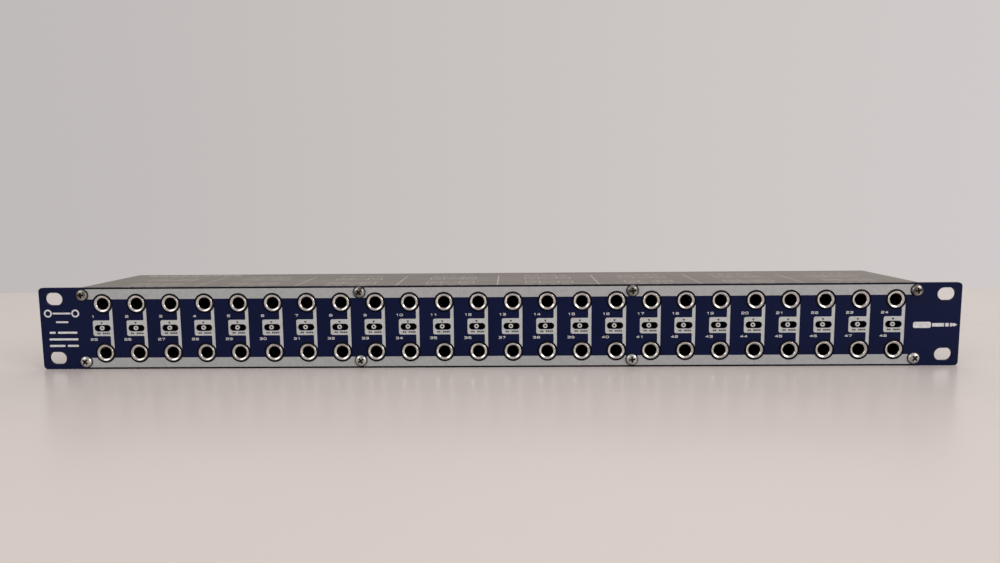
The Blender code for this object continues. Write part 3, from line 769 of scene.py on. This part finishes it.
def make_screws():
    """Every screw, its head outwards and its cross turned at random; the front's upper row is darker,
    painted shade.
    """
    mesh = screw_mesh()
    painted_shade_copy = mesh.copy()
    painted_shade_copy.materials[0] = SHADED_TOP_ZINC
    rng = random.Random(7)
    head = HEAD_H * MM
    for name in sorted(SCREWS):
        low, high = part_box(name)
        spot = (low + high) / 2
        if name.startswith("front_"):
            spot.y = low.y + head
            facing = Matrix.Rotation(math.pi / 2, 4, "X")
        elif name.startswith("rear_"):
            spot.y = high.y - head
            facing = Matrix.Rotation(-math.pi / 2, 4, "X")
        elif "_left_" in name:
            spot.x = low.x + head
            facing = Matrix.Rotation(-math.pi / 2, 4, "Y")
        else:
            spot.x = high.x - head
            facing = Matrix.Rotation(math.pi / 2, 4, "Y")
        spin = Matrix.Rotation(rng.uniform(0, math.pi / 2), 4, "Z")
        # The front's upper screws take the darker zinc, a painted shade.
        look = painted_shade_copy if name.startswith("front_screw_top_") else mesh
        place = Matrix.Translation(spot) @ facing @ spin
        add_piece("zinc_" + name, look, nodes=[name], matrix=place)


# ---------------------------------------------------------------- case
def bent_channel(half_w, low, high, open_top, steps=6):
    """Section of a sheet folded into a U with rounded bends, open above or below."""
    bends = []
    for side, start in ((-1, math.pi), (1, 1.5 * math.pi)):
        angles = [start + k / steps * math.pi / 2 for k in range(steps + 1)]
        x, z = side * (half_w - BEND_R), low + BEND_R
        bends.append([[(x + r * math.cos(a), z + r * math.sin(a)) for a in angles]
                      for r in (BEND_R, BEND_R - SHEET_T)])
    (left_out, left_in), (right_out, right_in) = bends
    section = [(-half_w, high), *left_out, *right_out, (half_w, high), (half_w - SHEET_T, high)]
    section += [*right_in[::-1], *left_in[::-1], (-half_w + SHEET_T, high)]
    return section if open_top else [(x, low + high - z) for x, z in section]


LIP_INSET = 1.6
LIP_OVERLAP = 0.5


def make_cover():
    """The lid with its two side flanges, and the lip that reaches back over the rear panel."""
    bm = bmesh.new()
    section = bent_channel(COVER_HIGH.x, COVER_LOW.z, COVER_HIGH.z, False)
    add_plate(bm, section, [], COVER_LOW.y + SHEET_GAP, TRAY_HIGH.y, bevel=0.08)
    half_w = COVER_HIGH.x - LIP_INSET
    lip = rounded(-half_w, half_w, COVER_HIGH.z - SHEET_T, COVER_HIGH.z, [0] * 4)
    add_plate(bm, lip, [], TRAY_HIGH.y - LIP_OVERLAP, CASE_DEPTH, bevel=0.08)
    mesh = finished_mesh("folded_cover", bm, [CASE_STEEL])
    add_piece("folded_cover", mesh, nodes=["top_cover"])


def make_tray():
    """The floor and the two side walls."""
    bm = bmesh.new()
    section = bent_channel(TRAY_HIGH.x, TRAY_LOW.z, TRAY_HIGH.z, True)
    add_plate(bm, section, [], TRAY_LOW.y + SHEET_GAP, TRAY_HIGH.y, bevel=0.08)
    mesh = finished_mesh("folded_tray", bm, [CASE_STEEL])
    add_piece("folded_tray", mesh, nodes=["chassis_tray"])


GROUPS = 8                                 # sketches along the lid, with long rules between them
GROUP_X = -188
GROUP_STEP = 54
SKETCH_Y = (14, 34)                        # front edges of the two sketches in a group
SKETCH_BOX_DX = (-12, 6)                   # left edges of a sketch's two boxes
SKETCH_BOX_W = 8
SKETCH_BOX_D = 9


def make_lid_print():
    """Faint signal-flow sketches along the lid, and a row of blocks at its rear left."""
    bm = bmesh.new()

    def mark(x0, x1, y0, y1):
        corners = [(x0, y0), (x1, y0), (x1, y1), (x0, y1)]
        low = [bm.verts.new((x, y, COVER_HIGH.z - INK_BACK)) for x, y in corners]
        high = [bm.verts.new((x, y, COVER_HIGH.z - INK_FRONT)) for x, y in corners]
        bm.faces.new(low)
        bm.faces.new(high)
        for k in range(4):
            bm.faces.new((low[k - 1], low[k], high[k], high[k - 1]))

    def row_of(count, x0, x1, step, y0, y1):
        """Equal blocks in a row, the first from x0 to x1."""
        for n in range(count):
            mark(x0 + n * step, x1 + n * step, y0, y1)

    def box(x0, y0, line=0.5):
        """A frame with a short rule in its middle."""
        x1, y1 = x0 + SKETCH_BOX_W, y0 + SKETCH_BOX_D
        mark(x0, x1, y0, y0 + line)
        mark(x0, x1, y1 - line, y1)
        mark(x0, x0 + line, y0 + line, y1 - line)
        mark(x1 - line, x1, y0 + line, y1 - line)
        mark(x0 + 2, x1 - 2, y0 + 4, y0 + 5)

    def sketch(x, y, joined):
        """Two boxes with two lines between them, the rear one with a gap unless it is joined."""
        left, right = x + SKETCH_BOX_DX[0] + SKETCH_BOX_W, x + SKETCH_BOX_DX[1]
        for dx in SKETCH_BOX_DX:
            box(x + dx, y)
        mark(left, right, y + 2.0, y + 2.6)
        for x0, x1 in ((left, right),) if joined else ((left, left + 4), (right - 4, right)):
            mark(x0, x1, y + 6.2, y + 6.8)

    for k in range(GROUPS):
        x = GROUP_X + k * GROUP_STEP
        for row, y in enumerate(SKETCH_Y):
            sketch(x, y, joined=row == k % 2)
        row_of(5, x - 12, x - 8.4, 5.2, 50, 51.3)
        row_of(4, x - 12, x - 8, 6.4, 6.5, 7.6)
        if k < GROUPS - 1:
            mark(x + 26.6, x + 27.2, 6, 52)
    row_of(9, -212, -206.6, 6.4, 59.4, 62.4)
    add_piece("lid_print", finished_mesh("lid_print", bm, [LID_INK]))


def make_rear_panel():
    low, high = REAR_LOW, REAR_HIGH
    holes = [circle(x, z, HOLE_R) for x in COLUMN_X for z in (UPPER_Z, LOWER_Z)]
    holes += [circle(x, z, SCREW_HOLE_R, 24) for x, z in screw_spots("rear_")]
    outline = rounded(low.x, high.x, low.z, high.z, [0.4] * 4, 3)
    bm = bmesh.new()
    add_plate(bm, outline, holes, low.y, high.y, bevel=0.15)
    mesh = finished_mesh("dark_rear_panel", bm, [REAR_PAINT])
    add_piece("dark_rear_panel", mesh, nodes=["rear_panel"])


REAR_NUMBER_Z = 5.3
REAR_LINE_HALF_H = 17
REAR_LINE_HALF_W = 212


def make_rear_print():
    """The jacks' numbers, a line between each two columns and one between the rows."""
    back, face = CASE_DEPTH - INK_BACK, CASE_DEPTH - INK_FRONT
    bm = bmesh.new()
    rows = []
    for i, x in enumerate(COLUMN_X):
        rows.append((i + 1, x, REAR_NUMBER_Z))
        rows.append((i + 1 + COLUMNS, x, -REAR_NUMBER_Z))
    add_numbers(bm, rows, face_y=CASE_DEPTH, facing=1, width=1.3, height=1.5, stroke=0.34)
    for x in COLUMN_X[:-1]:
        middle = x + PITCH / 2
        line = rounded(middle - 0.2, middle + 0.2, -REAR_LINE_HALF_H, REAR_LINE_HALF_H, [0.15] * 4, 2)
        add_plate(bm, line, [], back, face)
    line = rounded(-REAR_LINE_HALF_W, REAR_LINE_HALF_W, -0.25, 0.25, [0.2] * 4, 2)
    add_plate(bm, line, [], back, face - 0.01)
    add_piece("rear_print", finished_mesh("rear_print", bm, [WHITE_INK]))


# ---------------------------------------------------------------- inner CAD pieces
def dress_inner_nodes():
    """CAD nodes that keep their own shape inside the case."""
    looks = {"upper_board": BOARD, "lower_board": BOARD,
             "switch_bank_left": SWITCH_BLACK_AND_DIMPLE_SHADE, "switch_bank_right": SWITCH_BLACK_AND_DIMPLE_SHADE,
             "board_link_left": BLACK_NYLON, "board_link_right": BLACK_NYLON,
             "board_spacer_left": BRASS, "board_spacer_right": BRASS}
    for node, mat in looks.items():
        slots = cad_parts[node].data.materials
        if not slots:
            slots.append(mat)
        for k in range(len(slots)):
            slots[k] = mat


# ---------------------------------------------------------------- stage, lights and camera
FLOOR_HALF = 4.0                           # metres; the far edge makes the horizon
FLOOR_FAR = 0.29


def make_floor():
    corners = [(x, y, 0) for x, y in ((-FLOOR_HALF, -FLOOR_HALF), (FLOOR_HALF, -FLOOR_HALF),
                                      (FLOOR_HALF, FLOOR_FAR), (-FLOOR_HALF, FLOOR_FAR))]
    mesh = bpy.data.meshes.new("floor")
    mesh.from_pydata(corners, [], [(0, 1, 2, 3)])
    floor_mat = material("pale_floor", (0.67, 0.615, 0.585), 0.25, specular=0.26)
    vary_colour(floor_mat, noise(floor_mat, 3, 3), (0.66, 0.605, 0.575), (0.68, 0.625, 0.595))
    vary_roughness(floor_mat, noise(floor_mat, 30, 3), 0.23, 0.27)
    mesh.materials.append(floor_mat)
    floor = bpy.data.objects.new("floor", mesh)
    bpy.context.scene.collection.objects.link(floor)


def make_world():
    """A pale backdrop that grows lighter from left to right."""
    world = bpy.data.worlds.new("studio")
    bpy.context.scene.world = world
    world.use_nodes = True
    tree = world.node_tree
    direction = tree.nodes.new("ShaderNodeTexCoord")
    across = tree.nodes.new("ShaderNodeSeparateXYZ")
    spread = tree.nodes.new("ShaderNodeMapRange")
    spread.inputs["From Min"].default_value = -0.6
    spread.inputs["From Max"].default_value = 0.6
    ramp = tree.nodes.new("ShaderNodeValToRGB")
    ramp.color_ramp.elements[0].color = (0.52, 0.492, 0.485, 1)
    ramp.color_ramp.elements[1].color = (0.635, 0.60, 0.595, 1)
    middle = ramp.color_ramp.elements.new(0.55)
    middle.color = (0.592, 0.548, 0.538, 1)
    tree.links.new(direction.outputs["Generated"], across.inputs["Vector"])
    tree.links.new(across.outputs["X"], spread.inputs["Value"])
    tree.links.new(spread.outputs["Result"], ramp.inputs["Fac"])
    tree.links.new(ramp.outputs["Color"], tree.nodes["Background"].inputs["Color"])


def area_light(name, place, target, size, power, colour=(1, 1, 1), glossy=True):
    data = bpy.data.lights.new(name, "AREA")
    data.shape = "RECTANGLE"
    data.size, data.size_y = size
    data.energy = power
    data.color = colour
    lamp = bpy.data.objects.new(name, data)
    lamp.visible_glossy = glossy
    bpy.context.scene.collection.objects.link(lamp)
    direction = Vector(target) - Vector(place)
    lamp.matrix_world = Matrix.Translation(place) @ direction.to_track_quat("-Z", "Y").to_matrix().to_4x4()


def make_lights():
    """Four area lights: places and sizes in metres, power in watts."""
    area_light("key", (1.05, -0.85, 0.65), (0, 0, 0.02), (0.7, 0.7), 6.6, (1.0, 0.975, 0.95))
    area_light("fill", (-0.95, -0.8, 0.7), (0, 0, 0.02), (0.9, 0.8), 3.6, (1.0, 0.98, 0.96))
    area_light("top", (0.0, 0.15, 1.3), (0, 0, 0), (1.6, 1.0), 4.0, glossy=False)
    area_light("back", (0.3, 1.3, 0.8), (0, 0, 0.03), (1.2, 0.8), 3.0, glossy=False)


CAMERA_SPOT = (8.97, -379.0, 67.28)                # millimetres, in the working frame
CAMERA_TURN = (-0.114259, 0.0082501, 0.0162989)    # pitch, roll and yaw from looking level along +Y
LENS = 26.352
SENSOR_WIDTH = 36.0


def make_camera():
    data = bpy.data.cameras.new("camera")
    data.sensor_width = SENSOR_WIDTH
    data.lens = LENS
    data.clip_start = 0.01
    camera = bpy.data.objects.new("camera", data)
    bpy.context.scene.collection.objects.link(camera)
    turn = Euler(CAMERA_TURN, "XYZ").to_matrix().to_4x4()
    level = Matrix.Rotation(math.pi / 2, 4, "X")
    camera.matrix_world = Matrix.Translation(TO_WORLD @ Vector(CAMERA_SPOT)) @ turn @ level
    bpy.context.scene.camera = camera


make_camera()
make_floor()
make_world()
make_lights()
make_front_panel()
make_pale_print()
make_dark_marks()
make_numbers()
make_ear_marks()
for bank in sorted(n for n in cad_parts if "_jacks_" in n):
    make_jack_bank(bank)
make_levers()
make_screws()
make_cover()
make_tray()
make_lid_print()
make_rear_panel()
make_rear_print()
dress_inner_nodes()
bpy.context.scene.view_settings.view_transform = "Standard"
